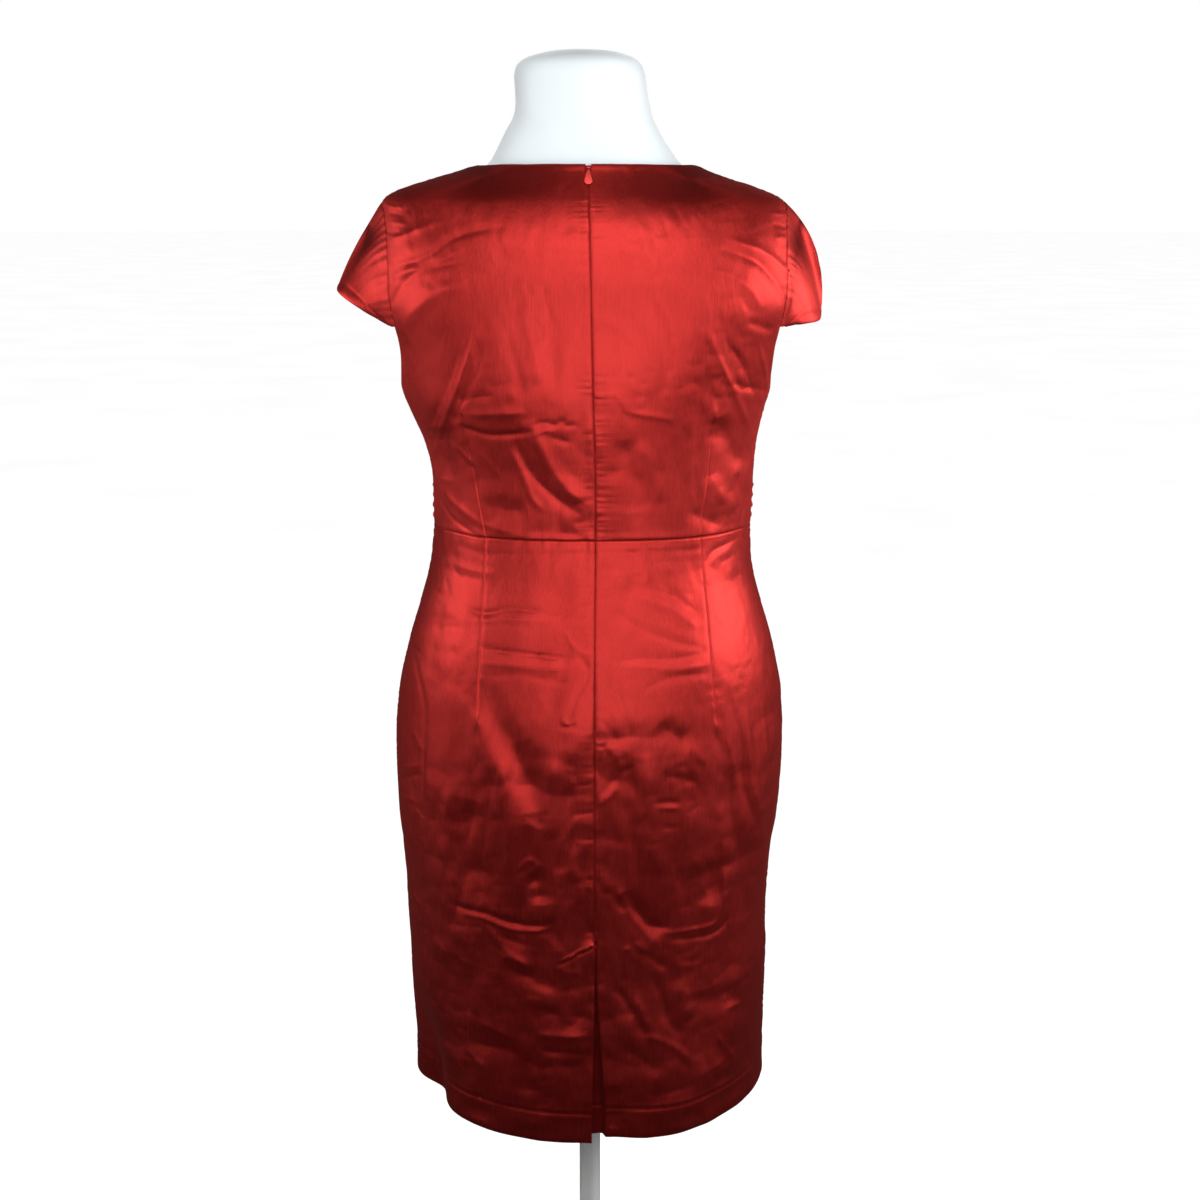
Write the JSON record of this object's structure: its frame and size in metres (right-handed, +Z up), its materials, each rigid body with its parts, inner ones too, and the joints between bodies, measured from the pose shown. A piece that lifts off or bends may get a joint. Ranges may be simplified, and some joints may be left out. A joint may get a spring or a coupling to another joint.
{
  "type": "cocktail dress on a dress form",
  "caption": "Knee-length satin sheath dress with cap sleeves, back zip, waist seam and hem vent, worn by a limbless white dress form on a round-base stand.",
  "frame": {"origin": "on the floor, at the centre of the underside of the stand's round base", "axes": "+Z up along the pole; -Y is the side that the dress's back, zip and vent face; +Y is its front; +X is the wearer's right"},
  "size_m": [0.473, 0.4, 1.507],
  "materials": {
    "satin": "satin, strong soft sheen with fine lengthwise slub",
    "zip_tape": "matt woven tape",
    "zip_paint": "semi-gloss enamel",
    "form_cover": "matt white stretch cover",
    "stand_paint": "satin white powder coat"
  },
  "bodies": {
    "root": {"back_bodice_left": "satin", "back_bodice_right": "satin", "front_bodice": "satin", "back_skirt_left": "satin", "back_skirt_right": "satin", "front_skirt": "satin", "sleeve_left": "satin", "sleeve_right": "satin", "zip_chain": "zip_tape", "zip_slider": "zip_paint", "form_body": "form_cover", "stand_pole": "stand_paint", "stand_base": "stand_paint"},
    "pull": {"zip_pull": "zip_paint"}
  },
  "joints": [
    {"name": "pull_hinge", "type": "hinge", "parent": "root", "child": "pull", "pos_m": [0.00018, -0.08379, 1.39617], "axis": [-1, 0, 0], "range_deg": [0, 165]}
  ]
}
